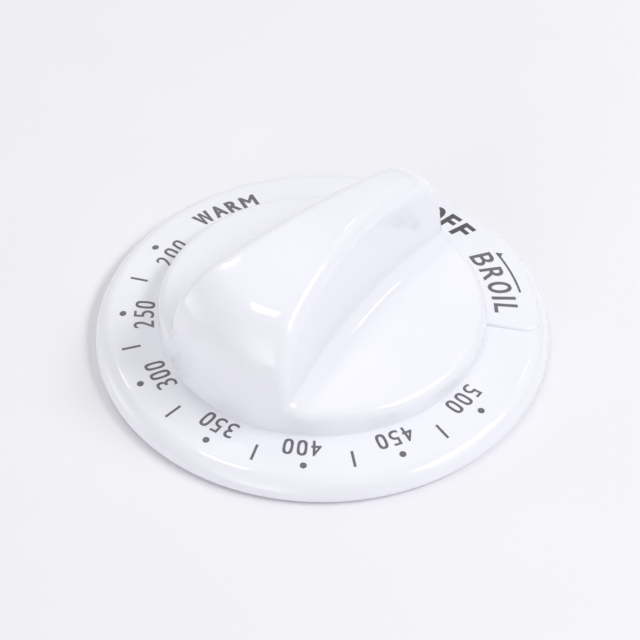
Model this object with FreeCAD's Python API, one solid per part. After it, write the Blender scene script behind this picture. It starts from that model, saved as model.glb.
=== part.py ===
import FreeCAD, Part
import math
import os

# Oven thermostat knob, in millimetres. The rim stands on z = 0, the stem axis is the Z axis,
# and +Y points to the narrow end of the grip, which is the end that points at OFF.

# Skirt: a shallow cone with a rounded rim
SKIRT_RADIUS = 33.35
SKIRT_EDGE_HEIGHT = 3.26
SKIRT_SLOPE = 7.75
RIM_ROUND = 2.8
RIM_WALL = 1.9

# Raised pad on the skirt, under the OFF and BROIL marks
PAD_RISE = 0.45
PAD_OUTER_RADIUS = 31.9
PAD_START = 35.6
PAD_SWEEP = 81.0
PAD_CORNER_ROUND = 2.2
PAD_EDGE_CHAMFER = 0.3

# Drum and crown that the grip is cut from
DRUM_RADIUS = 24.1
DRUM_DRAFT = 2.2
CROWN_HEIGHT = 23.53
CROWN_RADIUS = 66.8
CROWN_APEX_Y = -1.75
SHOULDER_ROUND = 9.2

# Two ball-shaped scoops that leave the grip standing between them
GRIP_TIP_HALF_WIDTH = 3.27
SCOOP_RADIUS = 143.0
SCOOP_CENTRE_Y = 24.5
SCOOP_CENTRE_HEIGHT = 21.3
FOOT_ROUND = 6.0
CREASE_RISE = 0.9
CREASE_ROUND = 0.6
EDGE_ROUND = 1.6

# Side lobes at the bottom of the scoops
LOBE_HEIGHT = 9.23
LOBE_RADIUS = 217.0
LOBE_APEX_Y = -9.84

# Underside
SHELL_WALL = 1.9
BOSS_RADIUS = 5.0
BOSS_DRAFT = 0.5
BOSS_FOOT_HEIGHT = 1.2
BOSS_FOOT_CHAMFER = 0.4
BORE_RADIUS = 3.2
BORE_FLAT = 1.6
BORE_DEPTH = 14.0
BORE_LEAD_IN = 0.5
SLIT_WIDTH = 1.0
SLIT_DEPTH = 10.0

# Ribs under the lobes, in the wide end of the grip and under the skirt
RIB_WIDTH = 1.2
RIB_DRAFT = 1.0
LOBE_RIB_ANGLES = (-38.0, 0.0, 38.0, 142.0, 180.0, 218.0)
LOBE_RIB_FOOT_HEIGHT = 4.6
LOBE_RIB_GAP = 2.5
GRIP_RIB_ANGLE = 270.0
GRIP_RIB_FOOT_HEIGHT = 12.0
SKIRT_RIB_COUNT = 8
SKIRT_RIB_FOOT_HEIGHT = 0.9

# Spring ring around the split boss
RING_THICKNESS = 0.6
RING_HEIGHT = 3.0
RING_FOOT_HEIGHT = 2.0
RING_GROOVE_DEPTH = 0.4
RING_GAP_ANGLE = 40.0
RING_CLEARANCE = 0.04

# Reach of the cutting bodies past what they cut, and how near counts as the same place
OVERCUT = 1.0
SAME_PLACE = 0.001
UP = FreeCAD.Vector(0, 0, 1)
ACROSS = FreeCAD.Vector(1, 0, 0)
ORIGIN = FreeCAD.Vector(0, 0, 0)

# Chamfer legs that replace a square edge's round of radius 1 by three flats, each touching it
OUTER_FLAT = 2 - math.sqrt(2)
INNER_FLAT = math.tan(math.radians(22.5)) - math.tan(math.radians(11.25))


def tangent(degrees):
    """The tangent of an angle in degrees."""
    return math.tan(math.radians(degrees))


def skirt_height(radius):
    """Height of the skirt's upper surface at a radius, before its rim is rounded."""
    return SKIRT_EDGE_HEIGHT + (SKIRT_RADIUS - radius) * tangent(SKIRT_SLOPE)


# Height at which the drum stands on the skirt
SKIRT_TOP_HEIGHT = skirt_height(DRUM_RADIUS)


def point(radius, height):
    """A point of a profile, in the half plane on +X."""
    return FreeCAD.Vector(radius, 0, height)


def direction(degrees):
    """A unit direction in the profile plane, as an angle above the level."""
    return point(math.cos(math.radians(degrees)), math.sin(math.radians(degrees)))


def line(start, end):
    """A straight stretch of a profile."""
    return Part.LineSegment(start, end).toShape()


def arc(centre, radius, start, end):
    """A round stretch of a profile between two directions."""
    along = [centre + direction(angle) * radius for angle in (start, (start + end) / 2, end)]
    return Part.Arc(*along).toShape()


def revolved(edges, sweep=360.0):
    """Revolve the profile that some edges enclose about the Z axis."""
    wire = Part.Wire(Part.__sortEdges__(edges))
    return Part.Face(wire).revolve(ORIGIN, UP, sweep)


def turned(outline, sweep=360.0, start=0.0):
    """Revolve an outline of (radius, height) points about the stem axis."""
    points = [point(radius, height) for radius, height in outline]
    solid = revolved(Part.makePolygon(points + points[:1]).Edges, sweep)
    solid.rotate(ORIGIN, UP, start)
    return solid


def ring_edges(solid, radius, height):
    """Edges of a turned solid that lie at one radius and height."""
    found = []
    for edge in solid.Edges:
        middle = edge.valueAt((edge.FirstParameter + edge.LastParameter) / 2)
        reach = math.hypot(middle.x, middle.y)
        if abs(reach - radius) < SAME_PLACE and abs(middle.z - height) < SAME_PLACE:
            found.append(edge)
    return found


def skirt_form():
    """The skirt as a full disc, with one arc from its slope over the rim."""
    fall = RIM_ROUND / math.cos(math.radians(SKIRT_SLOPE))
    centre = point(SKIRT_RADIUS - RIM_ROUND, skirt_height(SKIRT_RADIUS - RIM_ROUND) - fall)
    rim_top = centre + direction(90 - SKIRT_SLOPE) * RIM_ROUND
    rim_side = centre + direction(0) * RIM_ROUND
    return revolved([line(ORIGIN, point(SKIRT_RADIUS, 0)),
                     line(point(SKIRT_RADIUS, 0), rim_side),
                     arc(centre, RIM_ROUND, 0, 90 - SKIRT_SLOPE),
                     line(rim_top, point(DRUM_RADIUS, SKIRT_TOP_HEIGHT)),
                     line(point(DRUM_RADIUS, SKIRT_TOP_HEIGHT), point(0, SKIRT_TOP_HEIGHT)),
                     line(point(0, SKIRT_TOP_HEIGHT), ORIGIN)])


def skirt_hollow():
    """The room under the skirt, one wall thickness inside it."""
    radius = SKIRT_RADIUS - RIM_WALL
    drop = SHELL_WALL / math.cos(math.radians(SKIRT_SLOPE))
    return turned([(0, -OVERCUT), (radius, -OVERCUT), (radius, skirt_height(radius) - drop),
                   (DRUM_RADIUS, SKIRT_TOP_HEIGHT - drop), (0, SKIRT_TOP_HEIGHT - drop)])


def pad_form():
    """The raised pad: a sector that follows the skirt, with rounded outer corners."""
    inner = DRUM_RADIUS - SHELL_WALL / 2
    sink = PAD_RISE * 2
    pad = turned([(inner, skirt_height(inner) - sink),
                  (PAD_OUTER_RADIUS, skirt_height(PAD_OUTER_RADIUS) - sink),
                  (PAD_OUTER_RADIUS, skirt_height(PAD_OUTER_RADIUS) + PAD_RISE),
                  (inner, skirt_height(inner) + PAD_RISE)], PAD_SWEEP, PAD_START)
    corners = [edge for edge in pad.Edges if upright_at(edge, PAD_OUTER_RADIUS)]
    pad = pad.makeFillet(PAD_CORNER_ROUND, corners)
    rims = [edge for edge in pad.Edges if on_pad_top(edge, inner)]
    return pad.makeChamfer(PAD_EDGE_CHAMFER, rims)


def upright_at(edge, radius):
    """Whether an edge stands upright at a radius."""
    ends = [vertex.Point for vertex in edge.Vertexes]
    level = math.hypot(ends[0].x - ends[-1].x, ends[0].y - ends[-1].y)
    reach = math.hypot(ends[0].x, ends[0].y)
    return level < SAME_PLACE and abs(reach - radius) < SAME_PLACE


def on_pad_top(edge, inner):
    """Whether an edge runs round the upper face of the pad, away from the drum."""
    middle = edge.valueAt((edge.FirstParameter + edge.LastParameter) / 2)
    reach = math.hypot(middle.x, middle.y)
    rise = middle.z - skirt_height(reach) - PAD_RISE
    return abs(rise) < SAME_PLACE and reach > inner + SAME_PLACE


def crown_form(inset, base):
    """Drafted drum under a spherical crown; the shoulder is round outside and flat inside."""
    top = CROWN_HEIGHT + OVERCUT
    radii = [DRUM_RADIUS - inset - (height - SKIRT_TOP_HEIGHT) * tangent(DRUM_DRAFT)
             for height in (base, top)]
    drum = Part.makeCone(radii[0], radii[1], top - base, FreeCAD.Vector(0, 0, base))
    centre = FreeCAD.Vector(0, CROWN_APEX_Y, CROWN_HEIGHT - CROWN_RADIUS)
    crown = drum.common(Part.makeSphere(CROWN_RADIUS - inset, centre, ACROSS)).Solids[0]
    shoulder = [edge for edge in crown.Edges if edge.BoundBox.ZMin > SKIRT_TOP_HEIGHT
                and edge.BoundBox.XLength > DRUM_RADIUS]
    if inset:
        return crown.makeChamfer((SHOULDER_ROUND - inset) * OUTER_FLAT, shoulder)
    return crown.makeFillet(SHOULDER_ROUND, shoulder)


def crossing(first, first_reach, second, second_reach):
    """Point of a profile at given distances from two others, right of the line between them."""
    along = second - first
    advance = (along.Length**2 + first_reach**2 - second_reach**2) / (2 * along.Length)
    along.normalize()
    aside = point(along.z, -along.x) * math.sqrt(first_reach**2 - advance**2)
    return first + along * advance + aside


def bearing(start, end):
    """Direction in degrees from one point of a profile to another."""
    return math.degrees(math.atan2(end.z - start.z, end.x - start.x))


def foot_lines(ball, ball_radius, lobe_radius, inset):
    """Profile of a scoop's foot between the lobe, centred on the origin, and the ball.

    The outside has a hollow foot that meets the flank in a small crease. The hidden inside has
    one flat, which leaves an even wall.
    """
    rise = CREASE_RISE + inset * OUTER_FLAT
    foot_radius = rise if inset else FOOT_ROUND
    crease = crossing(ORIGIN, lobe_radius + rise, ball, ball_radius)
    foot_centre = crossing(crease, foot_radius, ORIGIN, lobe_radius + foot_radius)
    if inset:
        return [line(direction(bearing(ORIGIN, foot_centre)) * lobe_radius, crease)]
    centre = crossing(ball, ball_radius - CREASE_ROUND, foot_centre, FOOT_ROUND - CREASE_ROUND)
    turn = bearing(foot_centre, centre)
    return [arc(foot_centre, FOOT_ROUND, bearing(foot_centre, ORIGIN), turn),
            arc(centre, CREASE_ROUND, turn, bearing(ball, centre))]


def scoop_cutter(side, inset):
    """The ball that cuts one scoop, dished below by the lobe's sphere.

    The profile is turned about the line through the centres of ball and lobe.
    """
    lobe_centre = FreeCAD.Vector(0, LOBE_APEX_Y, LOBE_HEIGHT - LOBE_RADIUS)
    ball_centre = FreeCAD.Vector(side * (GRIP_TIP_HALF_WIDTH + SCOOP_RADIUS), SCOOP_CENTRE_Y,
                                 SCOOP_CENTRE_HEIGHT)
    lobe_radius = LOBE_RADIUS - inset
    ball_radius = SCOOP_RADIUS + inset
    span = ball_centre.distanceToPoint(lobe_centre)
    ball = point(0, span)
    foot = foot_lines(ball, ball_radius, lobe_radius, inset)
    low = foot[0].Vertexes[0].Point
    high = foot[-1].Vertexes[-1].Point
    cutter = revolved([arc(ORIGIN, lobe_radius, 90, bearing(ORIGIN, low)), *foot,
                       arc(ball, ball_radius, bearing(ball, high), 90),
                       line(point(0, span + ball_radius), point(0, lobe_radius))])
    axis = (ball_centre - lobe_centre).normalize()
    away = ACROSS * side
    cutter.Placement = FreeCAD.Placement(lobe_centre,
                                         FreeCAD.Rotation(away, axis.cross(away), axis, "ZXY"))
    return cutter


def grip_form(inset, base):
    """The grip and its lobes: the crowned drum less two scoops."""
    crown = crown_form(inset, base)
    scoops = [scoop_cutter(side, inset) for side in (-1, 1)]
    return crown, scoops, crown.cut(scoops).Solids[0]


def scooped_edges(grip, crown, scoops):
    """Edges along which the scoops cut through the crowned drum."""
    found = []
    for edge in grip.Edges:
        middle = Part.Vertex(edge.valueAt((edge.FirstParameter + edge.LastParameter) / 2))
        on_crown = crown.Shells[0].distToShape(middle)[0] < SAME_PLACE
        on_scoop = min(scoop.Shells[0].distToShape(middle)[0] for scoop in scoops) < SAME_PLACE
        if on_crown and on_scoop:
            found.append(edge)
    return found


def rounded_in_flats(solid, edges, radius):
    """Ease some edges by three flats that follow a round of the given radius.

    A rolled fillet along these curved edges would take most of the part's facets.
    """
    eased = solid.makeChamfer(radius * OUTER_FLAT, edges)
    sides = {}
    for face in eased.Faces:
        low, high, start, end = face.ParameterRange
        middle = Part.Vertex(face.valueAt((low + high) / 2, (start + end) / 2))
        if solid.Shells[0].distToShape(middle)[0] > radius * INNER_FLAT:
            for edge in face.Edges:
                sides.setdefault(edge.hashCode(), []).append(edge)
    borders = [found[0] for found in sides.values() if len(found) == 1]
    return eased.makeChamfer(radius * INNER_FLAT, borders)


def outer_form():
    """The whole outside of the moulding, still solid."""
    crown, scoops, grip = grip_form(0.0, 0.0)
    grip = rounded_in_flats(grip, scooped_edges(grip, crown, scoops), EDGE_ROUND)
    return skirt_form().fuse([grip, pad_form()]).removeSplitter().Solids[0]


def boss_form():
    """The stem boss, from its foot up into the grip."""
    height = CROWN_HEIGHT - BOSS_FOOT_HEIGHT
    boss = Part.makeCone(BOSS_RADIUS, BOSS_RADIUS + height * tangent(BOSS_DRAFT), height,
                         FreeCAD.Vector(0, 0, BOSS_FOOT_HEIGHT))
    foot = ring_edges(boss, BOSS_RADIUS, BOSS_FOOT_HEIGHT)
    return boss.makeChamfer(BOSS_FOOT_CHAMFER, foot).cut(ring_groove())


def ring_groove():
    """The groove round the boss that the spring ring sits in."""
    inner = BOSS_RADIUS - RING_GROOVE_DEPTH
    foot = RING_FOOT_HEIGHT - RING_CLEARANCE
    top = RING_FOOT_HEIGHT + RING_HEIGHT + RING_CLEARANCE
    outer = BOSS_RADIUS + OVERCUT
    return turned([(inner, foot), (outer, foot), (outer, top), (inner, top)])


def d_bore():
    """The D-shaped bore for the stem, with a lead-in at its mouth and the flat towards -X."""
    top = BOSS_FOOT_HEIGHT + BORE_DEPTH
    bore = turned([(0, 0), (BORE_RADIUS + BORE_LEAD_IN + BOSS_FOOT_HEIGHT, 0),
                   (BORE_RADIUS, BOSS_FOOT_HEIGHT + BORE_LEAD_IN), (BORE_RADIUS, top), (0, top)])
    span = 2 * BOSS_RADIUS
    beyond = Part.makeBox(span, 2 * span, span + top,
                          FreeCAD.Vector(-BORE_FLAT - span, -span, -OVERCUT))
    return bore.cut(beyond)


def boss_slit():
    """The slit that splits the foot of the boss along Y, so that it can grip the stem."""
    length = 2 * BOSS_RADIUS + 2 * OVERCUT
    return Part.makeBox(SLIT_WIDTH, length, SLIT_DEPTH + OVERCUT,
                        FreeCAD.Vector(-SLIT_WIDTH / 2, -length / 2, BOSS_FOOT_HEIGHT - OVERCUT))


def rib(angle, inner, outer, foot, top):
    """A radial rib that widens upwards with its draft."""
    half_foot = RIB_WIDTH / 2
    half_top = half_foot + (top - foot) * tangent(RIB_DRAFT)
    section = [(-half_foot, foot), (half_foot, foot), (half_top, top), (-half_top, top)]
    points = [FreeCAD.Vector(inner, across, height) for across, height in section]
    face = Part.Face(Part.makePolygon(points + points[:1]))
    solid = face.extrude(FreeCAD.Vector(outer - inner, 0, 0))
    solid.rotate(ORIGIN, UP, angle)
    return solid


def ribs():
    """Every rib of the underside, each reaching into the walls beside it."""
    drum_wall = DRUM_RADIUS - SHELL_WALL / 2
    solids = [rib(angle, BOSS_RADIUS + LOBE_RIB_GAP, drum_wall, LOBE_RIB_FOOT_HEIGHT, LOBE_HEIGHT)
              for angle in LOBE_RIB_ANGLES]
    solids.append(rib(GRIP_RIB_ANGLE, BOSS_RADIUS / 2, drum_wall, GRIP_RIB_FOOT_HEIGHT,
                      CROWN_HEIGHT))
    rim_wall = SKIRT_RADIUS - RIM_WALL / 2
    for index in range(SKIRT_RIB_COUNT):
        angle = (index + 0.5) * 360.0 / SKIRT_RIB_COUNT
        solids.append(rib(angle, drum_wall, rim_wall, SKIRT_RIB_FOOT_HEIGHT, SKIRT_TOP_HEIGHT))
    return solids


def knob_body():
    """The one-piece moulding."""
    hollow = skirt_hollow().fuse(grip_form(SHELL_WALL, -OVERCUT)[2])
    core = hollow.cut([boss_form()] + ribs())
    body = outer_form().cut(core)
    return body.cut([d_bore(), boss_slit()])


def hub_spring_ring():
    """The open steel ring in the groove of the split boss."""
    inner = BOSS_RADIUS - RING_GROOVE_DEPTH + RING_CLEARANCE
    outer = inner + RING_THICKNESS
    top = RING_FOOT_HEIGHT + RING_HEIGHT
    return turned([(inner, RING_FOOT_HEIGHT), (outer, RING_FOOT_HEIGHT), (outer, top), (inner, top)],
                  360.0 - RING_GAP_ANGLE, 270.0 + RING_GAP_ANGLE / 2)


def main():
    """Build each node and write its STEP file."""
    os.makedirs("parts", exist_ok=True)
    nodes = {"knob_body": knob_body(), "hub_spring_ring": hub_spring_ring()}
    for name, shape in nodes.items():
        print(name, "valid", shape.isValid(), "solids", len(shape.Solids),
              "volume", round(shape.Volume, 1))
        shape.exportStep("parts/" + name + ".step")


main()
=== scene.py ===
import logging
import math
from dataclasses import dataclass, field
from enum import Enum
from typing import Callable, Dict, List, Optional, Sequence, Tuple, TypeVar, Union

import bmesh
import bpy
import numpy as np
from mathutils import Matrix, Vector


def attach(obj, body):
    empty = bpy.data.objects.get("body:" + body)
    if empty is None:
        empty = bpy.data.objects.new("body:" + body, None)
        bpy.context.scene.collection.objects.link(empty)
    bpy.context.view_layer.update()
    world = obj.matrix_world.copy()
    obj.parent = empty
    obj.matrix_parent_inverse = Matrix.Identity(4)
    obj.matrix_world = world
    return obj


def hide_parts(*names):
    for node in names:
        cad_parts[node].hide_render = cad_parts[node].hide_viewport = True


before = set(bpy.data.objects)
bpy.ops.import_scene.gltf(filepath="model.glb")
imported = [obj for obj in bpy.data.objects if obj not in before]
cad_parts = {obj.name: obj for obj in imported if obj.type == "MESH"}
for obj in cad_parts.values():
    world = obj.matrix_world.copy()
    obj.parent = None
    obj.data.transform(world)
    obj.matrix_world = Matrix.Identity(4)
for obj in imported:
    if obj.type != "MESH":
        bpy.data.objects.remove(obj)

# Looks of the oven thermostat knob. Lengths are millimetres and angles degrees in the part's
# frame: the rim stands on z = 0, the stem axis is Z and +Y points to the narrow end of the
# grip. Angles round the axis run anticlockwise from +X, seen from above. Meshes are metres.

MM = 0.001
TINY = 1e-9
LOG = logging.getLogger("knob")

# Rolled edges: how often a point is moved towards its place, how far from the edge the roll is
# looked for in its radii, the least spread between two faces, and the cosine between their
# normals from which they need no roll.
PASSES = 3
ROLL_DEPTH = 1.6
ROLL_REACH = 3.0
LEAST_SPREAD = 0.02
FLUSH_COSINE = 0.99

Field = Tuple[np.ndarray, np.ndarray]
Shape = Callable[[np.ndarray], Field]
Colour = Tuple[float, float, float]
Stop = Tuple[float, Colour]
Reach = TypeVar("Reach", float, np.ndarray)


class Side(Enum):
    """A side, looking outwards along a radial line or along the grip towards +Y."""

    RIGHT = 1
    LEFT = -1


def grey(value: float) -> Colour:
    """A grey as a colour."""
    return value, value, value


def towards(azimuth: float, elevation: float) -> Vector:
    """The direction of something seen from the knob, from its two angles."""
    turn, rise = math.radians(azimuth), math.radians(elevation)
    return Vector((math.cos(turn) * math.cos(rise), math.sin(turn) * math.cos(rise),
                   math.sin(rise)))


# Solid shapes as fields: signed distances (negative inside) and outward unit normals.


def ball(centre: Sequence[float], radius: float) -> Shape:
    """A ball as a field.

    Args:
        centre: Its centre.
        radius: Its radius.

    Returns:
        The field of the ball.
    """
    middle = np.array(centre, float)

    def at(points: np.ndarray) -> Field:
        """Distances and normals of the ball.

        Args:
            points: Where they are wanted, a row each.

        Returns:
            A distance and a normal for each point.
        """
        away = points - middle
        length = np.maximum(np.linalg.norm(away, axis=1), TINY)
        return length - radius, away / length[:, None]

    return at


def cone(radius: float, height: float, draft: float) -> Shape:
    """A drafted round wall about the stem axis as a field.

    Args:
        radius: Its radius at the given height.
        height: The height where it has that radius.
        draft: Its lean inwards on the way up.

    Returns:
        The field of everything inside the wall.
    """
    lean = math.radians(draft)

    def at(points: np.ndarray) -> Field:
        """Distances and normals of the wall.

        Args:
            points: Where they are wanted, a row each.

        Returns:
            A distance and a normal for each point.
        """
        reach = np.maximum(np.hypot(points[:, 0], points[:, 1]), TINY)
        distance = (reach - radius) * math.cos(lean) + (points[:, 2] - height) * math.sin(lean)
        normal = np.stack([points[:, 0] / reach * math.cos(lean),
                           points[:, 1] / reach * math.cos(lean),
                           np.full(len(points), math.sin(lean))], axis=1)
        return distance, normal

    return at


def side_of(angle: float, side: Side) -> Shape:
    """The half space beside a radial line, as a field.

    Args:
        angle: The line's direction.
        side: Which side of it is meant.

    Returns:
        The field of the half space.
    """
    turn = math.radians(angle)
    normal = np.array([-math.sin(turn), math.cos(turn), 0.0]) * side.value

    def at(points: np.ndarray) -> Field:
        """Distances and normals of the half space at some points, a row each."""
        return points @ normal, np.tile(normal, (len(points), 1))

    return at


def outside(shape: Shape) -> Shape:
    """Everything that a shape leaves free.

    Args:
        shape: The shape.

    Returns:
        The field of the rest.
    """

    def at(points: np.ndarray) -> Field:
        """Distances and normals of the rest at some points, a row each."""
        distance, normal = shape(points)
        return -distance, -normal

    return at


def either(first: Shape, second: Shape) -> Shape:
    """Two shapes together, with a sharp corner between them.

    Args:
        first: One shape.
        second: The other shape.

    Returns:
        The field of the two together.
    """

    def at(points: np.ndarray) -> Field:
        """Distances and normals of the nearer shape.

        Args:
            points: Where they are wanted, a row each.

        Returns:
            A distance and a normal for each point.
        """
        near, near_normal = first(points)
        far, far_normal = second(points)
        nearer = near < far
        return np.where(nearer, near, far), np.where(nearer[:, None], near_normal, far_normal)

    return at


def both(first: Shape, second: Shape, radius: float) -> Shape:
    """What two shapes share, with their common edge rolled round.

    Args:
        first: One shape.
        second: The other shape.
        radius: The radius of the rolled edge.

    Returns:
        The field of the shared solid.
    """

    def at(points: np.ndarray) -> Field:
        """Distances and normals of the farther shape, and of the roll along their edge.

        Args:
            points: Where they are wanted, a row each.

        Returns:
            A distance and a normal for each point.
        """
        near, near_normal = first(points)
        far, far_normal = second(points)
        distance = np.maximum(near, far)
        normal = np.where((near > far)[:, None], near_normal, far_normal)
        by_edge = np.flatnonzero((np.minimum(near, far) > -ROLL_DEPTH * radius)
                                 & (distance < ROLL_REACH * radius))
        if radius and len(by_edge):
            centre = rolling_centre(first, second, radius, points[by_edge])
            away = points[by_edge] - centre
            length = np.maximum(np.linalg.norm(away, axis=1), TINY)
            one_normal, two_normal = first(centre)[1], second(centre)[1]
            cosine = np.sum(one_normal * two_normal, axis=1)
            by_one = np.sum(away * one_normal, axis=1)
            by_two = np.sum(away * two_normal, axis=1)
            rolled = ((by_one > cosine * by_two) & (by_two > cosine * by_one)
                      & (cosine < FLUSH_COSINE))
            chosen = by_edge[rolled]
            distance[chosen] = length[rolled] - radius
            normal[chosen] = away[rolled] / length[rolled, None]
        return distance, normal

    return at


def rolling_centre(first: Shape, second: Shape, radius: float, points: np.ndarray) -> np.ndarray:
    """Where the centre of a ball lies that touches two shapes from inside, near some points.

    Args:
        first: One shape.
        second: The other shape.
        radius: The ball's radius.
        points: The points whose neighbouring centres are wanted.

    Returns:
        One centre for each point.
    """
    centre = points.copy()
    for _ in range(PASSES):
        one, one_normal = first(centre)
        two, two_normal = second(centre)
        cosine = np.sum(one_normal * two_normal, axis=1)
        spread = np.maximum(1 - cosine**2, LEAST_SPREAD)
        along_one = (one + radius - cosine * (two + radius)) / spread
        along_two = (two + radius - cosine * (one + radius)) / spread
        step = along_one[:, None] * one_normal + along_two[:, None] * two_normal
        size = np.maximum(np.linalg.norm(step, axis=1), TINY)
        centre -= step * np.minimum(1, ROLL_REACH * radius / size)[:, None]
    return centre


def hit(shape: Shape, points: np.ndarray) -> np.ndarray:
    """Where some points land on a shape's surface along its normals.

    Args:
        shape: The shape.
        points: The points.

    Returns:
        Their places on the surface.
    """
    for _ in range(PASSES):
        distance, normal = shape(points)
        points = points - distance[:, None] * normal
    return points


def corner(first: float, second: float, opposite: float) -> float:
    """Angle in radians between two sides of a triangle, from its three sides."""
    return math.acos((first**2 + second**2 - opposite**2) / (2 * first * second))


def ease(share: np.ndarray) -> np.ndarray:
    """Shares from 0 to 1 that start and end gently."""
    return share * share * (3 - 2 * share)


@dataclass(frozen=True)
class KnobForm:
    """The outside of the moulding, with the sizes of the CAD part."""

    # The skirt, with the radius where its foot ring begins.
    skirt_radius: float = 33.35
    skirt_edge_height: float = 3.26
    skirt_slope: float = 7.75
    rim_round: float = 2.8
    rim_foot_round: float = 1.0
    foot_ring_radius: float = 31.45
    # The raised pad on it.
    pad_rise: float = 0.45
    pad_outer_radius: float = 31.9
    pad_start: float = 35.6
    pad_sweep: float = 81.0
    pad_corner_round: float = 2.2
    pad_edge_round: float = 0.45
    # The drum under its crown.
    drum_radius: float = 24.1
    drum_draft: float = 2.2
    crown_height: float = 23.53
    crown_radius: float = 66.8
    crown_apex_y: float = -1.75
    shoulder_round: float = 9.2
    # The scoops. The roll of their upper edge grows from the edge's to the crest's radius
    # between the two heights of the rise.
    grip_tip_half_width: float = 3.27
    scoop_radius: float = 143.0
    scoop_centre_y: float = 24.5
    scoop_centre_height: float = 21.3
    foot_round: float = 6.0
    crease_rise: float = 0.9
    crease_round: float = 0.6
    edge_round: float = 1.6
    crest_round: float = 2.5
    crest_rise: Tuple[float, float] = (10.0, 19.0)
    lobe_height: float = 9.23
    lobe_radius: float = 217.0
    lobe_apex_y: float = -9.84
    # How far past the drum and above the skirt each of them is looked for, and the distance
    # that stands for everywhere else.
    drum_margin: float = 0.6
    skirt_margin: float = 1.5
    far_off: float = 9.0

    def skirt_height(self, radius: Reach) -> Reach:
        """Height of the skirt's upper surface at a radius, before its rim is rounded."""
        fall = math.tan(math.radians(self.skirt_slope))
        return self.skirt_edge_height + (self.skirt_radius - radius) * fall

    def slope(self, rise: float) -> Shape:
        """The cone of the skirt's upper surface, lifted by a rise."""
        return cone(self.skirt_radius, self.skirt_edge_height + rise, 90 - self.skirt_slope)

    def skirt(self) -> Shape:
        """The skirt with its rounded rim, which also rolls in a little at its foot.

        Returns:
            The field of the skirt.
        """
        rim = both(self.slope(0), cone(self.skirt_radius, 0, 0), self.rim_round)
        above_floor = cone(self.skirt_radius, 0, -90)
        return both(rim, above_floor, self.rim_foot_round)

    def pad(self) -> Shape:
        """The raised pad under the OFF and BROIL marks.

        Returns:
            The field of the pad, down to the stem axis.
        """
        wedge = both(side_of(self.pad_start, Side.LEFT),
                     side_of(self.pad_start + self.pad_sweep, Side.RIGHT), 0)
        outline = both(wedge, cone(self.pad_outer_radius, 0, 0), self.pad_corner_round)
        return both(self.slope(self.pad_rise), outline, self.pad_edge_round)

    def scoop(self, side: Side) -> Shape:
        """One side's scoop: a ball dished by the lobe, with a hollow foot that ends in a crease.

        Args:
            side: The scoop's side of the grip.

        Returns:
            The field of the scoop.
        """
        centre = np.array([side.value * (self.grip_tip_half_width + self.scoop_radius),
                           self.scoop_centre_y, self.scoop_centre_height])
        low = np.array([0, self.lobe_apex_y, self.lobe_height - self.lobe_radius])
        span = float(np.linalg.norm(centre - low))
        crease = self.lobe_radius + self.crease_rise
        foot = self.lobe_radius + self.foot_round
        turn = (corner(crease, span, self.scoop_radius) - corner(crease, foot, self.foot_round))
        wide = math.sqrt(span**2 + foot**2 - 2 * span * foot * math.cos(turn)) + self.foot_round
        lobe = outside(ball(low, self.lobe_radius))
        hollow = both(ball(centre, wide), lobe, self.foot_round)
        return both(ball(centre, self.scoop_radius), hollow, self.crease_round)

    def rising_edge(self, drum: Shape, cut: Shape) -> Shape:
        """What the drum and a scoop's outside share, with an edge that gets rounder upwards.

        Args:
            drum: The drum.
            cut: The outside of the scoop.

        Returns:
            The field of the scooped drum.
        """
        low, high = both(drum, cut, self.edge_round), both(drum, cut, self.crest_round)

        def at(points: np.ndarray) -> Field:
            """Distances and normals between those of the low and the high roll.

            Args:
                points: Where they are wanted, a row each.

            Returns:
                A distance and a normal for each point.
            """
            start, end = self.crest_rise
            share = ease(np.clip((points[:, 2] - start) / (end - start), 0, 1))
            distance, normal = low(points)
            upper = np.flatnonzero(share > 0)
            away, out = high(points[upper])
            part = share[upper]
            distance[upper] += part * (away - distance[upper])
            normal[upper] += part[:, None] * (out - normal[upper])
            normal[upper] /= np.linalg.norm(normal[upper], axis=1, keepdims=True)
            return distance, normal

        return at

    def grip(self) -> Shape:
        """The crowned drum less its two scoops, with rolled edges.

        Returns:
            The field of the drum, its lobes and the grip.
        """
        crown = ball((0, self.crown_apex_y, self.crown_height - self.crown_radius),
                     self.crown_radius)
        wall = cone(self.drum_radius, self.skirt_height(self.drum_radius), self.drum_draft)
        drum = both(crown, wall, self.shoulder_round)
        right, left = (self.rising_edge(drum, outside(self.scoop(side)))
                       for side in (Side.RIGHT, Side.LEFT))

        def at(points: np.ndarray) -> Field:
            """Distances and normals, from the scoop on a point's own side.

            Args:
                points: Where they are wanted, a row each.

            Returns:
                A distance and a normal for each point.
            """
            one, one_normal = right(points)
            two, two_normal = left(points)
            on_right = points[:, 0] > 0
            return (np.where(on_right, one, two),
                    np.where(on_right[:, None], one_normal, two_normal))

        return at

    def outer(self) -> Shape:
        """The whole outside: the skirt and its pad round the grip, each asked only near itself.

        Returns:
            The field of the knob's outside.
        """
        low = either(self.skirt(), self.pad())
        high = self.grip()
        top = self.skirt_height(self.drum_radius)

        def at(points: np.ndarray) -> Field:
            """Distances and normals of the nearer of the two.

            Args:
                points: Where they are wanted, a row each.

            Returns:
                A distance and a normal for each point.
            """
            reach = np.hypot(points[:, 0], points[:, 1])
            distance = np.full(len(points), self.far_off)
            normal = np.tile([0.0, 0.0, 1.0], (len(points), 1))
            for shape, wanted in ((high, reach < self.drum_radius + self.drum_margin),
                                  (low, points[:, 2] < top + self.skirt_margin)):
                chosen = np.flatnonzero(wanted)
                if len(chosen):
                    away, out = shape(points[chosen])
                    nearer = away < distance[chosen]
                    distance[chosen[nearer]] = away[nearer]
                    normal[chosen[nearer]] = out[nearer]
            return distance, normal

        return at


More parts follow.
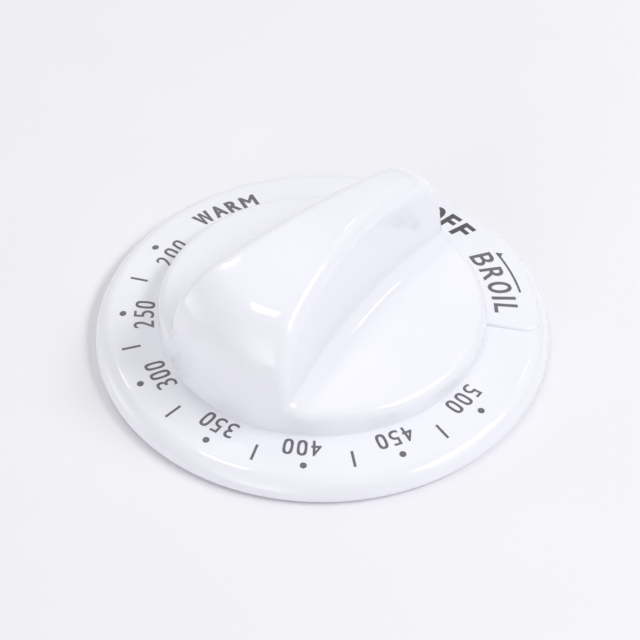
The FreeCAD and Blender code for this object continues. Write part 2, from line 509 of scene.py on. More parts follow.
class NodeTree:
    """A node tree with short ways to add and join nodes."""

    def __init__(self, tree: bpy.types.NodeTree, output: str) -> None:
        """Empty a tree and give it its output.

        Args:
            tree: The tree.
            output: The Blender type of the output node.
        """
        self.tree = tree
        self.tree.nodes.clear()
        self.output = self.add(output)

    def add(self, kind: str, **values: object) -> bpy.types.Node:
        """Add a node.

        Args:
            kind: Its Blender type.
            values: Attributes, or inputs by their names with underscores.

        Returns:
            The node.
        """
        node = self.tree.nodes.new(kind)
        for key, value in values.items():
            if hasattr(node, key):
                setattr(node, key, value)
            else:
                node.inputs[key.replace("_", " ")].default_value = value
        return node

    def join(self, start: bpy.types.Node, out: Union[str, int], end: bpy.types.Node,
             into: Union[str, int]) -> None:
        """Link one node's output to another's input, each by its name or place."""
        self.tree.links.new(start.outputs[out], end.inputs[into])


class FinishTree(NodeTree):
    """A material's node tree, with patterns on the object's own coordinates."""

    def __init__(self, name: str) -> None:
        """Start a material.

        Args:
            name: Its name.
        """
        self.material = bpy.data.materials.new(name)
        self.material.use_nodes = True
        super().__init__(self.material.node_tree, "ShaderNodeOutputMaterial")
        self.place = self.add("ShaderNodeTexCoord")

    def noise(self, scale: float, detail: float, roughness: float = 0.5,
              stretch: Optional[Tuple[float, float, float]] = None) -> bpy.types.Node:
        """Add a noise pattern.

        Args:
            scale: Its scale, in waves a metre.
            detail: How many finer layers it has.
            roughness: How strong the finer layers are.
            stretch: Factors on the coordinates before they reach the pattern, if any.

        Returns:
            The pattern's node.
        """
        pattern = self.add("ShaderNodeTexNoise", Scale=scale, Detail=detail,
                           Roughness=roughness)
        if stretch is None:
            self.join(self.place, "Object", pattern, "Vector")
        else:
            mapping = self.add("ShaderNodeMapping", Scale=stretch)
            self.join(self.place, "Object", mapping, "Vector")
            self.join(mapping, "Vector", pattern, "Vector")
        return pattern

    def ramp(self, pattern: bpy.types.Node, low: Stop, high: Stop) -> bpy.types.Node:
        """Colour a pattern.

        Args:
            pattern: The pattern.
            low: The value where the first colour ends, and that colour.
            high: The value where the second colour begins, and that colour.

        Returns:
            The colour ramp's node.
        """
        node = self.add("ShaderNodeValToRGB")
        for element, (place, colour) in zip(node.color_ramp.elements, (low, high)):
            element.position = place
            element.color = (*colour, 1.0)
        self.join(pattern, "Fac", node, "Fac")
        return node

    def bump(self, pattern: bpy.types.Node, strength: float, depth: float) -> bpy.types.Node:
        """Raise the surface by a pattern.

        Args:
            pattern: The pattern.
            strength: How strongly it shows.
            depth: How high it stands.

        Returns:
            The bump's node.
        """
        node = self.add("ShaderNodeBump", Strength=strength, Distance=depth * MM)
        self.join(pattern, "Fac", node, "Height")
        return node

    def finish(self, colour: bpy.types.Node, rough: Optional[bpy.types.Node] = None,
               bump: Optional[bpy.types.Node] = None, **values: float) -> bpy.types.Material:
        """Close the tree with its shader.

        Args:
            colour: The node that gives the colour.
            rough: The node that gives the roughness, if any.
            bump: The node that gives the surface's normal, if any.
            values: Other inputs by their names with underscores.

        Returns:
            The material.
        """
        shader = self.add("ShaderNodeBsdfPrincipled", **values)
        for source, socket in ((colour, "Base Color"), (rough, "Roughness"), (bump, "Normal")):
            if source is not None:
                self.join(source, 0, shader, socket)
        self.join(shader, "BSDF", self.output, "Surface")
        return self.material


@dataclass(frozen=True)
class GlossPlastic:
    """White gloss moulding: faint flow clouds, fine orange peel and slightly uneven polish."""

    name: str = "gloss_white_plastic"
    light: Colour = (0.900, 0.900, 0.968)
    dark: Colour = (0.885, 0.885, 0.955)
    smooth: float = 0.05
    rough: float = 0.10
    refraction: float = 1.58
    cloud_scale: float = 70.0
    polish_scale: float = 240.0
    peel_scale: float = 900.0
    peel_strength: float = 0.02
    peel_depth: float = 0.05

    def build(self) -> bpy.types.Material:
        """Make the material.

        Returns:
            The material.
        """
        tree = FinishTree(self.name)
        clouds = tree.noise(self.cloud_scale, detail=3.0)
        polish = tree.noise(self.polish_scale, detail=5.0, roughness=0.6)
        peel = tree.noise(self.peel_scale, detail=2.0, roughness=0.4)
        colour = tree.ramp(clouds, (0.35, self.dark), (0.65, self.light))
        gloss = tree.add("ShaderNodeMapRange", From_Min=0.3, From_Max=0.7,
                         To_Min=self.smooth, To_Max=self.rough)
        tree.join(polish, "Fac", gloss, "Value")
        bump = tree.bump(peel, self.peel_strength, self.peel_depth)
        return tree.finish(colour, gloss, bump, IOR=self.refraction)


@dataclass(frozen=True)
class SatinPlastic:
    """The inside of the moulding, as the tool's eroded steel leaves it."""

    name: str = "satin_inside"
    light: Colour = (0.86, 0.87, 0.88)
    dark: Colour = (0.82, 0.83, 0.84)
    smooth: float = 0.42
    rough: float = 0.58
    cloud_scale: float = 90.0
    grain_scale: float = 2600.0
    grain_strength: float = 0.15
    grain_depth: float = 0.03

    def build(self) -> bpy.types.Material:
        """Make the material.

        Returns:
            The material.
        """
        tree = FinishTree(self.name)
        grain = tree.noise(self.grain_scale, detail=2.0, roughness=0.6)
        clouds = tree.noise(self.cloud_scale, detail=2.0)
        colour = tree.ramp(clouds, (0.35, self.dark), (0.65, self.light))
        rough = tree.ramp(grain, (0.3, grey(self.smooth)), (0.7, grey(self.rough)))
        bump = tree.bump(grain, self.grain_strength, self.grain_depth)
        return tree.finish(colour, rough, bump)


@dataclass(frozen=True)
class PrintInk:
    """Dark grey pad-printed ink with pinholes of thinner colour."""

    name: str = "print_ink"
    dense: Colour = (0.125, 0.122, 0.142)
    thin: Colour = (0.195, 0.190, 0.215)
    smooth: float = 0.30
    rough: float = 0.42
    cover_scale: float = 3200.0

    def build(self) -> bpy.types.Material:
        """Make the material.

        Returns:
            The material.
        """
        tree = FinishTree(self.name)
        cover = tree.noise(self.cover_scale, detail=4.0, roughness=0.65)
        colour = tree.ramp(cover, (0.40, self.dense), (0.72, self.thin))
        rough = tree.ramp(cover, (0.3, grey(self.smooth)), (0.7, grey(self.rough)))
        return tree.finish(colour, rough)


@dataclass(frozen=True)
class SpringSteel:
    """Rolled spring steel with fine lines along the strip and a trace of oil tint."""

    name: str = "rolled_spring_steel"
    base: Colour = (0.52, 0.52, 0.53)
    tint: Colour = (0.44, 0.42, 0.39)
    smooth: float = 0.22
    rough: float = 0.40
    tint_scale: float = 500.0
    line_stretch: Tuple[float, float, float] = (60.0, 60.0, 5200.0)
    line_strength: float = 0.2
    line_depth: float = 0.01

    def build(self) -> bpy.types.Material:
        """Make the material.

        Returns:
            The material.
        """
        tree = FinishTree(self.name)
        lines = tree.noise(1.0, detail=4.0, roughness=0.6, stretch=self.line_stretch)
        clouds = tree.noise(self.tint_scale, detail=3.0)
        colour = tree.ramp(clouds, (0.4, self.base), (0.75, self.tint))
        rough = tree.ramp(lines, (0.3, grey(self.smooth)), (0.7, grey(self.rough)))
        bump = tree.bump(lines, self.line_strength, self.line_depth)
        return tree.finish(colour, rough, bump, Metallic=1.0)


@dataclass(frozen=True)
class PaleFloor:
    """A matt pale table top, very slightly clouded."""

    name: str = "pale_floor"
    colour: Colour = (0.890, 0.884, 0.920)
    cloud_share: float = 0.992
    cloud_scale: float = 60.0
    rough: float = 0.55
    shine: float = 0.3

    def build(self) -> bpy.types.Material:
        """Make the material.

        Returns:
            The material.
        """
        tree = FinishTree(self.name)
        clouds = tree.noise(self.cloud_scale, detail=3.0)
        low = tuple(part * self.cloud_share for part in self.colour)
        colour = tree.ramp(clouds, (0.3, low), (0.7, self.colour))
        return tree.finish(colour, Roughness=self.rough, Specular_IOR_Level=self.shine)


@dataclass
class KnobSkin:
    """The moulding as it looks: the CAD node's surface, refined and laid on its rolled form."""

    form: KnobForm = field(default_factory=KnobForm)
    # Vertices nearer than the weld are one, and those nearer to the form than the reach are
    # laid on it. Edges are halved where their middle is off it by more than the chord error.
    weld: float = 0.002
    reach: float = 0.5
    chord_error: float = 0.003
    least_edge: float = 0.22
    refinements: int = 5
    # The foot ring's inner side stays where it is, from this height or beside the ring.
    inner_foot_height: float = 0.3
    foot_ring_slack: float = 0.02
    # Faces this near to the form are outside. The cosines tell how well a face or a corner
    # agrees with the form's normal, and the nudge takes a corner that lies on a crease in.
    outside_reach: float = 0.1
    facing_cosine: float = 0.7
    crease_cosine: float = 0.985
    nudge: float = 0.1
    fit_cosine: float = 0.8
    loose_cosine: float = 0.2

    def build(self, node: bpy.types.Object) -> bpy.types.Object:
        """Make the piece.

        Args:
            node: The CAD node of the moulding.

        Returns:
            The finished piece, which stands for the node.
        """
        shape = self.form.outer()
        mesh = node.data.copy()
        mesh.name = "knob_skin"
        if mesh.has_custom_normals:
            mesh.attributes.remove(mesh.attributes["custom_normal"])
        work = bmesh.new()
        work.from_mesh(mesh)
        bmesh.ops.remove_doubles(work, verts=work.verts, dist=self.weld * MM)
        tested = 0
        on_form = self.settle(work, shape, np.zeros(0, bool))
        for _ in range(self.refinements):
            self.refine(work, shape, on_form, tested)
            tested = len(on_form)
            on_form = self.settle(work, shape, on_form)
        work.to_mesh(mesh)
        work.free()
        piece = bpy.data.objects.new("knob_skin", mesh)
        bpy.context.scene.collection.objects.link(piece)
        self.shade(mesh, shape)
        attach(piece, "root")
        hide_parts(node.name)
        return piece

    def settle(self, work: bmesh.types.BMesh, shape: Shape, on_form: np.ndarray) -> np.ndarray:
        """Lay new outer vertices on the rolled form, and leave the inside as it is.

        Args:
            work: The mesh.
            shape: The form.
            on_form: For each vertex settled before, whether it lies on the form.

        Returns:
            The same for all vertices.
        """
        work.verts.index_update()
        work.verts.ensure_lookup_table()
        fresh = work.verts[len(on_form):]
        points = np.array([vertex.co for vertex in fresh]).reshape(-1, 3) / MM
        distance, _ = shape(points)
        height, radius = points[:, 2], np.hypot(points[:, 0], points[:, 1])
        in_ring = ((height > self.inner_foot_height)
                   | (radius < self.form.foot_ring_radius - self.foot_ring_slack))
        inner_foot = ((height < self.form.rim_foot_round) & in_ring
                      & (radius < self.form.skirt_radius - self.form.rim_foot_round))
        outer = (np.abs(distance) < self.reach) & ~inner_foot
        movable = np.flatnonzero(outer)
        landed = hit(shape, points[movable])
        for index, place in zip(movable, landed):
            if np.linalg.norm(place - points[index]) < self.reach:
                fresh[index].co = Vector(place) * MM
        return np.concatenate([on_form, outer])

    def refine(self, work: bmesh.types.BMesh, shape: Shape, on_form: np.ndarray,
               tested: int) -> None:
        """Halve the edges whose middle lies off the form.

        Args:
            work: The mesh.
            shape: The form.
            on_form: For each vertex, whether it lies on the form.
            tested: How many vertices, the first ones, have had their edges tested before.
        """
        work.edges.ensure_lookup_table()
        pairs = np.array([[v.index for v in e.verts] for e in work.edges])
        places = np.array([v.co for v in work.verts]) / MM
        asked = np.flatnonzero(on_form[pairs].all(axis=1) & (pairs.max(axis=1) >= tested))
        ends = places[pairs[asked]]
        length = np.linalg.norm(ends[:, 0] - ends[:, 1], axis=1)
        asked, ends = asked[length > self.least_edge], ends[length > self.least_edge]
        off = np.abs(shape(ends.mean(axis=1))[0])
        chosen = asked[(off > self.chord_error) & (off < self.reach)]
        if len(chosen):
            edges = [work.edges[index] for index in chosen]
            bmesh.ops.subdivide_edges(work, edges=edges, cuts=1)
            bmesh.ops.triangulate(work, faces=[f for f in work.faces if len(f.verts) > 3])

    def shade(self, mesh: bpy.types.Mesh, shape: Shape) -> None:
        """Give the outside gloss plastic and exact normals, and the inside its own finish.

        Args:
            mesh: The skin's mesh, in triangles.
            shape: The form that it lies on.
        """
        mesh.materials.clear()
        mesh.materials.append(GlossPlastic().build())
        mesh.materials.append(SatinPlastic().build())
        places = np.array([vertex.co for vertex in mesh.vertices]) / MM
        corners = np.array([loop.vertex_index for loop in mesh.loops])
        centres = np.array([face.center for face in mesh.polygons]) / MM
        flat = np.array([face.normal for face in mesh.polygons])
        owner = np.repeat(np.arange(len(flat)), 3)
        above_foot = centres[:, 2] > self.form.rim_foot_round
        distance, facing = shape(centres)
        outer = ((np.abs(distance) < self.outside_reach)
                 & ((np.sum(facing * flat, axis=1) > self.facing_cosine) | above_foot))
        exact = shape(places)[1][corners]
        agreement = np.sum(exact * flat[owner], axis=1)
        creased = np.flatnonzero(outer[owner] & (agreement < self.crease_cosine))
        exact[creased] = shape(places[corners[creased]] * (1 - self.nudge)
                               + centres[owner[creased]] * self.nudge)[1]
        agreement = np.sum(exact * flat[owner], axis=1)
        fits = outer[owner] & ((agreement > self.fit_cosine)
                               | ((agreement > self.loose_cosine) & above_foot[owner]))
        normals = np.where(fits[:, None], exact, flat[owner])
        mesh.polygons.foreach_set("material_index", np.where(outer, 0, 1).astype(np.int32))
        mesh.polygons.foreach_set("use_smooth", np.ones(len(flat), bool))
        mesh.normals_split_custom_set([tuple(n) for n in normals])
        mesh.update()


@dataclass(frozen=True)
class Label:
    """One number of the scale: its dot's angle, its own angle, its foot's radius and its height.

    Its lean is clockwise from the radius.
    """

    text: str
    dot: float
    angle: float
    foot: float
    height: float
    lean: float


@dataclass(frozen=True)
class Letter:
    """One letter of a word: its angle, the radius of its foot, its height and its width."""

    text: str
    angle: float
    foot: float
    height: float
    width: float


@dataclass(frozen=True)
class BroilArc:
    """The thin arc over BROIL. It is laid in short bars and begins at an arrowhead."""

    reach: Tuple[float, float] = (29.42, 29.72)
    angles: Tuple[float, float] = (68.0, 50.6)
    width: float = 0.34
    bars: int = 14
    overlap: float = 1.05
    head_radius: float = 0.66
    head_scale: Tuple[float, float, float] = (1.1, 0.95, 1)
    head_advance: float = 1.1
    head_rise: float = 0.2
    head_lean: float = -14.0


@dataclass
class MarkPress:
    """Flat marks, and how they are laid onto the skirt."""

    form: KnobForm = field(default_factory=KnobForm)
    # The ink's upper face stands this far off the skirt, and its lower face below that.
    lift: float = 0.02
    depth: float = 0.06
    longest_edge: float = 0.9
    dot_steps: int = 40
    # The built-in typeface at its own size: the steps of its curves, the stroke, the width in
    # strokes under which a character is a bare bar, and the least width between two strokes.
    curve_steps: int = 8
    face_weld: float = 1e-5
    face_stroke: float = 0.088
    bar_strokes: float = 1.6
    least_core: float = 0.02
    # Outline corners move no farther out than one over this share.
    miter_share: float = 0.75
    # Squared bows: the box's power, how near to its poles the oval is read, the least width
    # there, and how fast the change grows from the middle.
    box_power: int = 5
    pole_share: float = 0.97
    pole_width: float = 0.02
    bow_growth: float = 1.2

    def surface(self, points: np.ndarray) -> np.ndarray:
        """Height of the printed surface, on the pad where there is one.

        Args:
            points: Points, a row each.

        Returns:
            The height at each point.
        """
        reach = np.hypot(points[:, 0], points[:, 1])
        height = self.form.skirt_height(reach)
        turn = np.degrees(np.arctan2(points[:, 1], points[:, 0])) % 360
        start, end = self.form.pad_start, self.form.pad_start + self.form.pad_sweep
        padded = (turn > start) & (turn < end) & (reach < self.form.pad_outer_radius)
        return np.where(padded, height + self.form.pad_rise, height)

    def typeface(self, text: str) -> bmesh.types.BMesh:
        """A filled character of the built-in typeface, at its own size.

        Args:
            text: The character.

        Returns:
            The flat character.
        """
        curve = bpy.data.curves.new("glyph", "FONT")
        curve.body = text
        curve.resolution_u = self.curve_steps
        letter = bpy.data.objects.new("glyph", curve)
        flat = bpy.data.meshes.new_from_object(letter)
        work = bmesh.new()
        work.from_mesh(flat)
        bpy.data.objects.remove(letter)
        bpy.data.curves.remove(curve)
        bpy.data.meshes.remove(flat)
        bmesh.ops.remove_doubles(work, verts=work.verts, dist=self.face_weld)
        return work

    def glyph(self, text: str, height: float, width: float, stroke: float,
              square: float = 0.0) -> bmesh.types.BMesh:
        """A flat character, centred across and standing on its foot line.

        Args:
            text: The character.
            height: Its height.
            width: Its width.
            stroke: The thickness of its strokes.
            square: How far its round sides are pushed out towards a box, from 0 to 1.

        Returns:
            The filled character.
        """
        work = self.typeface(text)
        low = [min(v.co[i] for v in work.verts) for i in range(2)]
        high = [max(v.co[i] for v in work.verts) for i in range(2)]
        core = (width - stroke, height - stroke)
        scale = [core[i] / max(high[i] - low[i] - self.face_stroke, self.least_core)
                 for i in range(2)]
        if high[0] - low[0] < self.bar_strokes * self.face_stroke:
            scale[0] = width / (high[0] - low[0])
        for vertex in work.verts:
            vertex.co.x = (vertex.co.x - (low[0] + high[0]) / 2) * scale[0]
            vertex.co.y = (vertex.co.y - (low[1] + high[1]) / 2) * scale[1] + height / 2
        self.swell(work, *((stroke - self.face_stroke * part) / 2 for part in scale))
        if square:
            self.square_up(work, width, height, square)
        return work

    def swell(self, work: bmesh.types.BMesh, across: float, along: float) -> None:
        """Push the outline of a flat shape outwards.

        Args:
            work: The shape.
            across: How far where the outline faces sideways.
            along: How far where it faces up or down.
        """
        push = {}
        for edge in work.edges:
            if not edge.is_boundary:
                continue
            face = edge.link_faces[0]
            start, end = edge.verts
            way = (end.co - start.co).normalized()
            out = Vector((way.y, -way.x, 0))
            if out.dot(face.calc_center_median() - start.co) > 0:
                out = -out
            for vertex in edge.verts:
                push.setdefault(vertex, []).append(out)
        for vertex, outs in push.items():
            mean = sum(outs, Vector()).normalized()
            reach = 1 / max(mean.dot(outs[0]), self.miter_share)
            vertex.co += Vector((mean.x * across, mean.y * along, 0)) * reach

    def square_up(self, work: bmesh.types.BMesh, width: float, height: float,
                  share: float) -> None:
        """Turn oval bows into the upright, round-cornered ones of a narrow signwriter's face.

        Args:
            work: The character.
            width: Its width.
            height: Its height.
            share: How far to go from the oval to the box.
        """
        for vertex in work.verts:
            x = 2 * vertex.co.x / width
            y = abs(2 * vertex.co.y / height - 1)
            oval = math.sqrt(max(1 - min(y, self.pole_share) ** 2, self.pole_width))
            box = min((1 - min(y, 1) ** self.box_power) ** (1 / self.box_power), 1)
            vertex.co.x *= 1 + share * (box / oval - 1) * min(abs(x) * self.bow_growth, 1)

    def disc(self, diameter: float) -> bmesh.types.BMesh:
        """A flat round dot about the origin.

        Args:
            diameter: Its diameter.

        Returns:
            The dot.
        """
        work = bmesh.new()
        bmesh.ops.create_circle(work, cap_ends=True, segments=self.dot_steps,
                                radius=diameter / 2)
        return work

    def bar(self, width: float, length: float) -> bmesh.types.BMesh:
        """A flat bar about the origin.

        Args:
            width: Its size across.
            length: Its size along the radius.

        Returns:
            The bar.
        """
        work = bmesh.new()
        bmesh.ops.create_grid(work, x_segments=2, y_segments=8, size=0.5)
        bmesh.ops.scale(work, verts=work.verts, vec=(width, length, 1))
        return work

    def lay(self, work: bmesh.types.BMesh, angle: float, foot: float,
            lean: float = 0.0) -> bmesh.types.BMesh:
        """Wrap a flat mark onto the skirt and give it its thickness.

        Args:
            work: The mark, with its foot line on y = 0.
            angle: Where its middle goes.
            foot: The radius of its foot line.
            lean: How far it leans clockwise.

        Returns:
            The same mark.
        """
        middle = sum(v.co.y for v in work.verts) / len(work.verts)
        for vertex in work.verts:
            vertex.co.x += math.tan(math.radians(lean)) * (vertex.co.y - middle)
        bmesh.ops.triangulate(work, faces=work.faces)
        long_edges = [e for e in work.edges if e.calc_length() > self.longest_edge]
        bmesh.ops.subdivide_edges(work, edges=long_edges, cuts=2)
        bmesh.ops.triangulate(work, faces=[f for f in work.faces if len(f.verts) > 3])
        points = np.array([v.co for v in work.verts])
        reach = np.hypot(foot + points[:, 1], points[:, 0])
        turn = math.radians(angle) - np.arctan2(points[:, 0], foot + points[:, 1])
        laid = np.stack([reach * np.cos(turn), reach * np.sin(turn), reach * 0], axis=1)
        laid[:, 2] = self.surface(laid) + self.lift
        for vertex, place in zip(work.verts, laid):
            vertex.co = Vector(place)
        for face in work.faces:
            face.normal_update()
            if face.normal.z < 0:
                face.normal_flip()
        top = bmesh.ops.extrude_face_region(work, geom=work.faces[:], use_keep_orig=True)
        lower = [e for e in top["geom"] if isinstance(e, bmesh.types.BMVert)]
        bmesh.ops.translate(work, verts=lower, vec=(0, 0, -self.depth))
        bmesh.ops.recalc_face_normals(work, faces=work.faces)
        return work

    def piece(self, name: str, marks: List[bmesh.types.BMesh],
              ink: bpy.types.Material) -> bpy.types.Object:
        """Join some laid marks into one piece.

        Args:
            name: The piece's name.
            marks: The marks, which are used up.
            ink: Their material.

        Returns:
            The piece.
        """
        whole = bmesh.new()
        for mark in marks:
            part = bpy.data.meshes.new("mark")
            mark.to_mesh(part)
            mark.free()
            whole.from_mesh(part)
            bpy.data.meshes.remove(part)
        bmesh.ops.scale(whole, verts=whole.verts, vec=(MM, MM, MM))
        mesh = bpy.data.meshes.new(name)
        whole.to_mesh(mesh)
        whole.free()
        mesh.materials.append(ink)
        piece = bpy.data.objects.new(name, mesh)
        bpy.context.scene.collection.objects.link(piece)
        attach(piece, "root")
        return piece


@dataclass
class DialPrint(MarkPress):
    """The scale and the words printed on the skirt, with the tops of letters outwards."""

    dot_reach: float = 29.31
    dot_diameter: float = 1.02
    # Ticks by angle and clockwise lean.
    ticks: Tuple[Tuple[float, float], ...] = ((202.6, 5.5), (231.7, 3.0), (261.1, 0.5),
                                              (290.1, -0.5), (319.0, -1.5), (347.1, -1.0))
    tick_reach: float = 28.4
    tick_length: float = 2.75
    tick_width: float = 0.40
    labels: Tuple[Label, ...] = (
        Label("200", 188.2, 188.35, 24.85, 2.80, 8.0),
        Label("250", 217.25, 218.3, 24.65, 3.00, 8.0),
        Label("300", 246.35, 246.4, 24.70, 2.95, 8.0),
        Label("350", 275.6, 275.8, 24.85, 2.75, 4.0),
        Label("400", 304.75, 303.8, 24.95, 2.70, -1.0),
        Label("450", 333.0, 333.2, 25.0, 2.65, -3.0),
        Label("500", 361.1, 360.9, 24.8, 2.75, -6.0))
    digit_width: float = 1.50
    digit_pitch: float = 2.03
    digit_stroke: float = 0.37
    zero_square: float = 0.55
    warm: Tuple[Letter, ...] = (
        Letter("W", 169.4, 26.5, 2.95, 2.7), Letter("A", 164.0, 26.45, 2.9, 2.05),
        Letter("R", 159.2, 26.25, 2.9, 1.85), Letter("M", 153.75, 26.0, 3.0, 2.5))
    warm_stroke: float = 0.56
    off: Tuple[Letter, ...] = (
        Letter("O", 92.4, 26.0, 3.8, 2.5), Letter("F", 86.8, 26.0, 3.8, 2.0),
        Letter("F", 81.2, 26.0, 3.8, 2.15))
    off_stroke: float = 0.78
    broil: Tuple[Letter, ...] = (
        Letter("B", 66.8, 25.0, 3.5, 2.45), Letter("R", 59.7, 25.05, 3.5, 2.5),
        Letter("O", 53.1, 25.1, 3.6, 2.45), Letter("I", 48.2, 25.2, 3.6, 0.66),
        Letter("L", 43.6, 25.3, 3.55, 1.95))
    broil_stroke: float = 0.56
    broil_lean: float = 1.2
    arc: BroilArc = field(default_factory=BroilArc)
    ink: PrintInk = field(default_factory=PrintInk)
    # OFF is printed in a darker copy of the same ink. The step between the two inks stands in
    # for light: painted sheen on the other marks, painted shade on OFF.
    shaded_off_ink: PrintInk = field(default_factory=lambda: PrintInk(
        "print_ink_painted_shade", dense=(0.068, 0.066, 0.078), thin=(0.115, 0.112, 0.128)))

    def dots(self) -> List[bmesh.types.BMesh]:
        """The dots over the numbers."""
        return [self.lay(self.disc(self.dot_diameter), label.dot, self.dot_reach)
                for label in self.labels]

    def bars(self) -> List[bmesh.types.BMesh]:
        """The ticks between the numbers."""
        return [self.lay(self.bar(self.tick_width, self.tick_length), angle,
                         self.tick_reach, lean) for angle, lean in self.ticks]

    def numbers(self) -> List[bmesh.types.BMesh]:
        """The numbers, digit by digit.

        Returns:
            The laid digits.
        """
        marks = []
        for label in self.labels:
            for place, digit in enumerate(label.text):
                shift = (place - 1) * self.digit_pitch / (label.foot + label.height / 2)
                mark = self.glyph(digit, label.height, self.digit_width, self.digit_stroke,
                                  self.zero_square if digit == "0" else 0)
                marks.append(self.lay(mark, label.angle - math.degrees(shift), label.foot,
                                      label.lean))
        return marks

    def word(self, letters: Sequence[Letter], stroke: float,
             lean: float = 0.0) -> List[bmesh.types.BMesh]:
        """One word, letter by letter.

        Args:
            letters: Its letters.
            stroke: The thickness of their strokes.
            lean: How far they lean clockwise.

        Returns:
            The laid letters.
        """
        return [self.lay(self.glyph(letter.text, letter.height, letter.width, stroke),
                         letter.angle, letter.foot, lean) for letter in letters]

    def broil_arc(self) -> List[bmesh.types.BMesh]:
        """The thin arc over the BROIL mark, with an arrowhead towards OFF.

        Returns:
            The laid bars and the arrowhead.
        """
        arc = self.arc
        sweep, rise = arc.angles[1] - arc.angles[0], arc.reach[1] - arc.reach[0]
        marks = []
        for index in range(arc.bars):
            share = (index + 0.5) / arc.bars
            reach = arc.reach[0] + rise * share
            span = abs(math.radians(sweep)) / arc.bars * reach
            marks.append(self.lay(self.bar(span * arc.overlap, arc.width),
                                  arc.angles[0] + sweep * share, reach))
        head = bmesh.new()
        bmesh.ops.create_circle(head, cap_ends=True, segments=3, radius=arc.head_radius)
        bmesh.ops.scale(head, verts=head.verts, vec=arc.head_scale)
        marks.append(self.lay(head, arc.angles[0] - arc.head_advance,
                              arc.reach[0] + arc.head_rise, arc.head_lean))
        return marks

    def build(self) -> List[bpy.types.Object]:
        """Print the whole dial.

        Returns:
            The printed pieces.
        """
        # The second, darker ink is painted shade on the OFF mark.
        ink, off_shaded_ink = self.ink.build(), self.shaded_off_ink.build()
        return [self.piece("scale_dots", self.dots(), ink),
                self.piece("scale_ticks", self.bars(), ink),
                self.piece("scale_numbers", self.numbers(), ink),
                self.piece("word_warm", self.word(self.warm, self.warm_stroke), ink),
                self.piece("word_off", self.word(self.off, self.off_stroke), off_shaded_ink),
                self.piece("word_broil", self.word(self.broil, self.broil_stroke,
                                                   self.broil_lean), ink),
                self.piece("broil_arc", self.broil_arc(), ink)]


@dataclass
class HubRing:
    """The steel ring in the groove of the split boss."""

    steel: SpringSteel = field(default_factory=SpringSteel)

    def dress(self, node: bpy.types.Object) -> bpy.types.Object:
        """Give the CAD node its finish.

        Args:
            node: The ring's node.

        Returns:
            The same node.
        """
        steel = self.steel.build()
        for slot in node.material_slots:
            slot.material = steel
        return node


@dataclass(frozen=True)
class Lamp:
    """A soft box: its direction and its apparent size in degrees, and its radiance, white 1."""

    name: str
    azimuth: float
    elevation: float
    width: float
    height: float
    radiance: float


@dataclass(frozen=True)
class SkyGlow:
    """A soft patch of bright sky: its direction and half width in degrees, and its strength."""

    azimuth: float
    elevation: float
    half_width: float
    strength: float


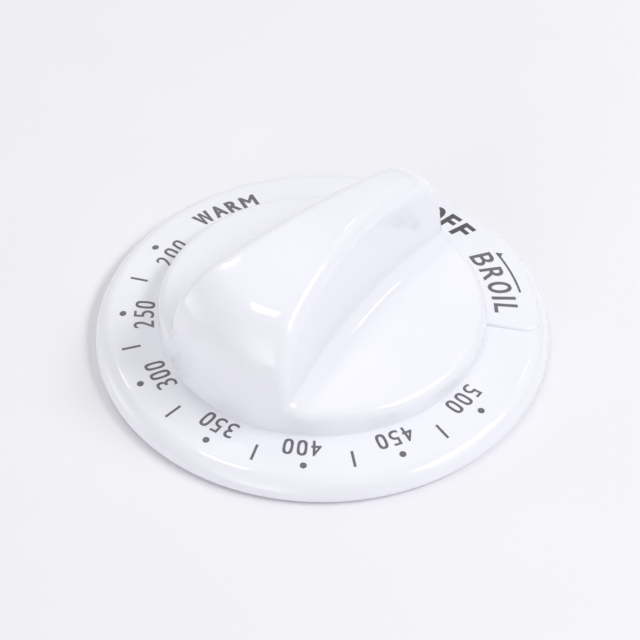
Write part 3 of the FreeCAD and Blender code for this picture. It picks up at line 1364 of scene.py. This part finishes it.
@dataclass
class Studio:
    """Floor, lamps and sky."""

    # The floor's side and the lamps' distance are metres.
    floor_size: float = 3.0
    lamp_distance: float = 0.9
    lamp_aim_height: float = 10.0
    fill: float = 0.2
    sky_white: Colour = grey(1.0)
    backdrop: Colour = grey(0.90)
    lamps: Tuple[Lamp, ...] = (
        Lamp("window", 29.0, 48.0, 38.0, 16.0, 8.7),
        Lamp("back_strip", 99.0, 46.0, 3.0, 5.0, 7.0),
        Lamp("top_left", 195.0, 71.0, 11.0, 9.0, 7.5),
        Lamp("back_left", 157.0, 48.0, 3.6, 3.2, 9.0))
    glows: Tuple[SkyGlow, ...] = (
        SkyGlow(15.0, 27.0, 12.0, 0.9), SkyGlow(75.0, 46.0, 14.0, 0.55),
        SkyGlow(315.0, 68.0, 14.0, 0.5), SkyGlow(225.0, 68.0, 14.0, 0.2),
        SkyGlow(135.0, 68.0, 14.0, 0.45), SkyGlow(145.0, 48.0, 15.0, 0.85),
        SkyGlow(110.0, 27.0, 12.0, 0.5), SkyGlow(270.0, 26.0, 16.0, 1.5),
        SkyGlow(284.0, 5.0, 14.0, 2.6), SkyGlow(207.0, 5.0, 14.0, 2.3),
        SkyGlow(150.0, 5.0, 25.0, 0.6))

    def floor(self) -> bpy.types.Object:
        """The pale floor that the knob stands on.

        Returns:
            The floor.
        """
        work = bmesh.new()
        bmesh.ops.create_grid(work, x_segments=4, y_segments=4, size=self.floor_size / 2)
        mesh = bpy.data.meshes.new("floor")
        work.to_mesh(mesh)
        work.free()
        mesh.materials.append(PaleFloor().build())
        floor = bpy.data.objects.new("floor", mesh)
        bpy.context.scene.collection.objects.link(floor)
        return floor

    def lamp(self, lamp: Lamp) -> bpy.types.Object:
        """An area lamp that faces the knob.

        Args:
            lamp: Its direction, its size as seen from the knob, and its radiance.

        Returns:
            The lamp.
        """
        data = bpy.data.lights.new(lamp.name, "AREA")
        data.shape = "RECTANGLE"
        data.size = 2 * self.lamp_distance * math.tan(math.radians(lamp.width / 2))
        data.size_y = 2 * self.lamp_distance * math.tan(math.radians(lamp.height / 2))
        data.energy = lamp.radiance * math.pi * data.size * data.size_y
        light = bpy.data.objects.new(lamp.name, data)
        away = towards(lamp.azimuth, lamp.elevation)
        target = Vector((0, 0, self.lamp_aim_height * MM))
        light.matrix_world = (Matrix.Translation(target + away * self.lamp_distance)
                              @ away.to_track_quat("Z", "Y").to_matrix().to_4x4())
        bpy.context.scene.collection.objects.link(light)
        return light

    def glow(self, tree: NodeTree, glow: SkyGlow) -> bpy.types.Node:
        """The strength of one soft patch of sky, in any direction.

        Args:
            tree: The sky's nodes.
            glow: The patch.

        Returns:
            The node that gives the strength.
        """
        fall = math.log(2) / (1 - math.cos(math.radians(glow.half_width)))
        place = tree.add("ShaderNodeTexCoord")
        along = tree.add("ShaderNodeVectorMath", operation="DOT_PRODUCT")
        along.inputs[1].default_value = towards(glow.azimuth, glow.elevation)
        power = tree.add("ShaderNodeMath", operation="MULTIPLY_ADD")
        power.inputs[1].default_value = fall
        power.inputs[2].default_value = math.log(glow.strength) - fall
        value = tree.add("ShaderNodeMath", operation="EXPONENT")
        tree.join(place, "Generated", along, 0)
        tree.join(along, "Value", power, 0)
        tree.join(power, 0, value, 0)
        return value

    def sky(self) -> None:
        """Soft patches of light all round, and a pale background past the floor."""
        world = bpy.data.worlds.new("sky")
        bpy.context.scene.world = world
        world.use_nodes = True
        tree = NodeTree(world.node_tree, "ShaderNodeOutputWorld")
        total = tree.add("ShaderNodeValue")
        total.outputs[0].default_value = self.fill
        for glow in self.glows:
            more = tree.add("ShaderNodeMath", operation="ADD")
            tree.join(total, 0, more, 0)
            tree.join(self.glow(tree, glow), 0, more, 1)
            total = more
        soft = tree.add("ShaderNodeBackground", Color=(*self.sky_white, 1))
        pale = tree.add("ShaderNodeBackground", Color=(*self.backdrop, 1), Strength=1.0)
        path = tree.add("ShaderNodeLightPath")
        mix = tree.add("ShaderNodeMixShader")
        tree.join(total, 0, soft, "Strength")
        tree.join(path, "Is Camera Ray", mix, "Fac")
        tree.join(soft, 0, mix, 1)
        tree.join(pale, 0, mix, 2)
        tree.join(mix, 0, tree.output, "Surface")

    def build(self) -> None:
        """Set the whole studio."""
        self.floor()
        self.sky()
        for lamp in self.lamps:
            self.lamp(lamp)


@dataclass(frozen=True)
class PhotoCamera:
    """The camera of the photograph, from the fit of the knob's outlines."""

    target_height: float = 3.82
    azimuth: float = 310.0
    elevation: float = 44.787
    distance: float = 600.0
    nearest: float = 10.0
    sensor: float = 36.0
    # In pixels of a picture this wide and high.
    frame_pixels: float = 640.0
    focal_pixels: float = 4090.6
    centre: Tuple[float, float] = (322.211, 320.238)

    def build(self) -> bpy.types.Object:
        """Make the camera and set it.

        Returns:
            The camera.
        """
        data = bpy.data.cameras.new("photo_camera")
        data.sensor_width = self.sensor
        data.lens = self.focal_pixels / self.frame_pixels * self.sensor
        data.shift_x = -(self.centre[0] - self.frame_pixels / 2) / self.frame_pixels
        data.shift_y = (self.centre[1] - self.frame_pixels / 2) / self.frame_pixels
        data.clip_start = self.nearest * MM
        camera = bpy.data.objects.new("photo_camera", data)
        away = towards(self.azimuth, self.elevation)
        place = Vector((0, 0, self.target_height)) + away * self.distance
        camera.location = place * MM
        camera.rotation_euler = (-away).to_track_quat("-Z", "Y").to_euler()
        bpy.context.scene.collection.objects.link(camera)
        bpy.context.scene.camera = camera
        return camera


def main() -> None:
    """Build each class in order and report each piece."""
    logging.basicConfig(level=logging.INFO, format="%(name)s: %(message)s")
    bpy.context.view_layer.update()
    nodes: Dict[str, bpy.types.Object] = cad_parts
    pieces = [KnobSkin().build(nodes["knob_body"]),
              HubRing().dress(nodes["hub_spring_ring"]),
              *DialPrint().build()]
    for piece in pieces:
        LOG.info("%s: %d faces", piece.name, len(piece.data.polygons))
    Studio().build()
    PhotoCamera().build()
    bpy.context.scene.view_settings.view_transform = "Standard"


if __name__ == "__main__":
    main()
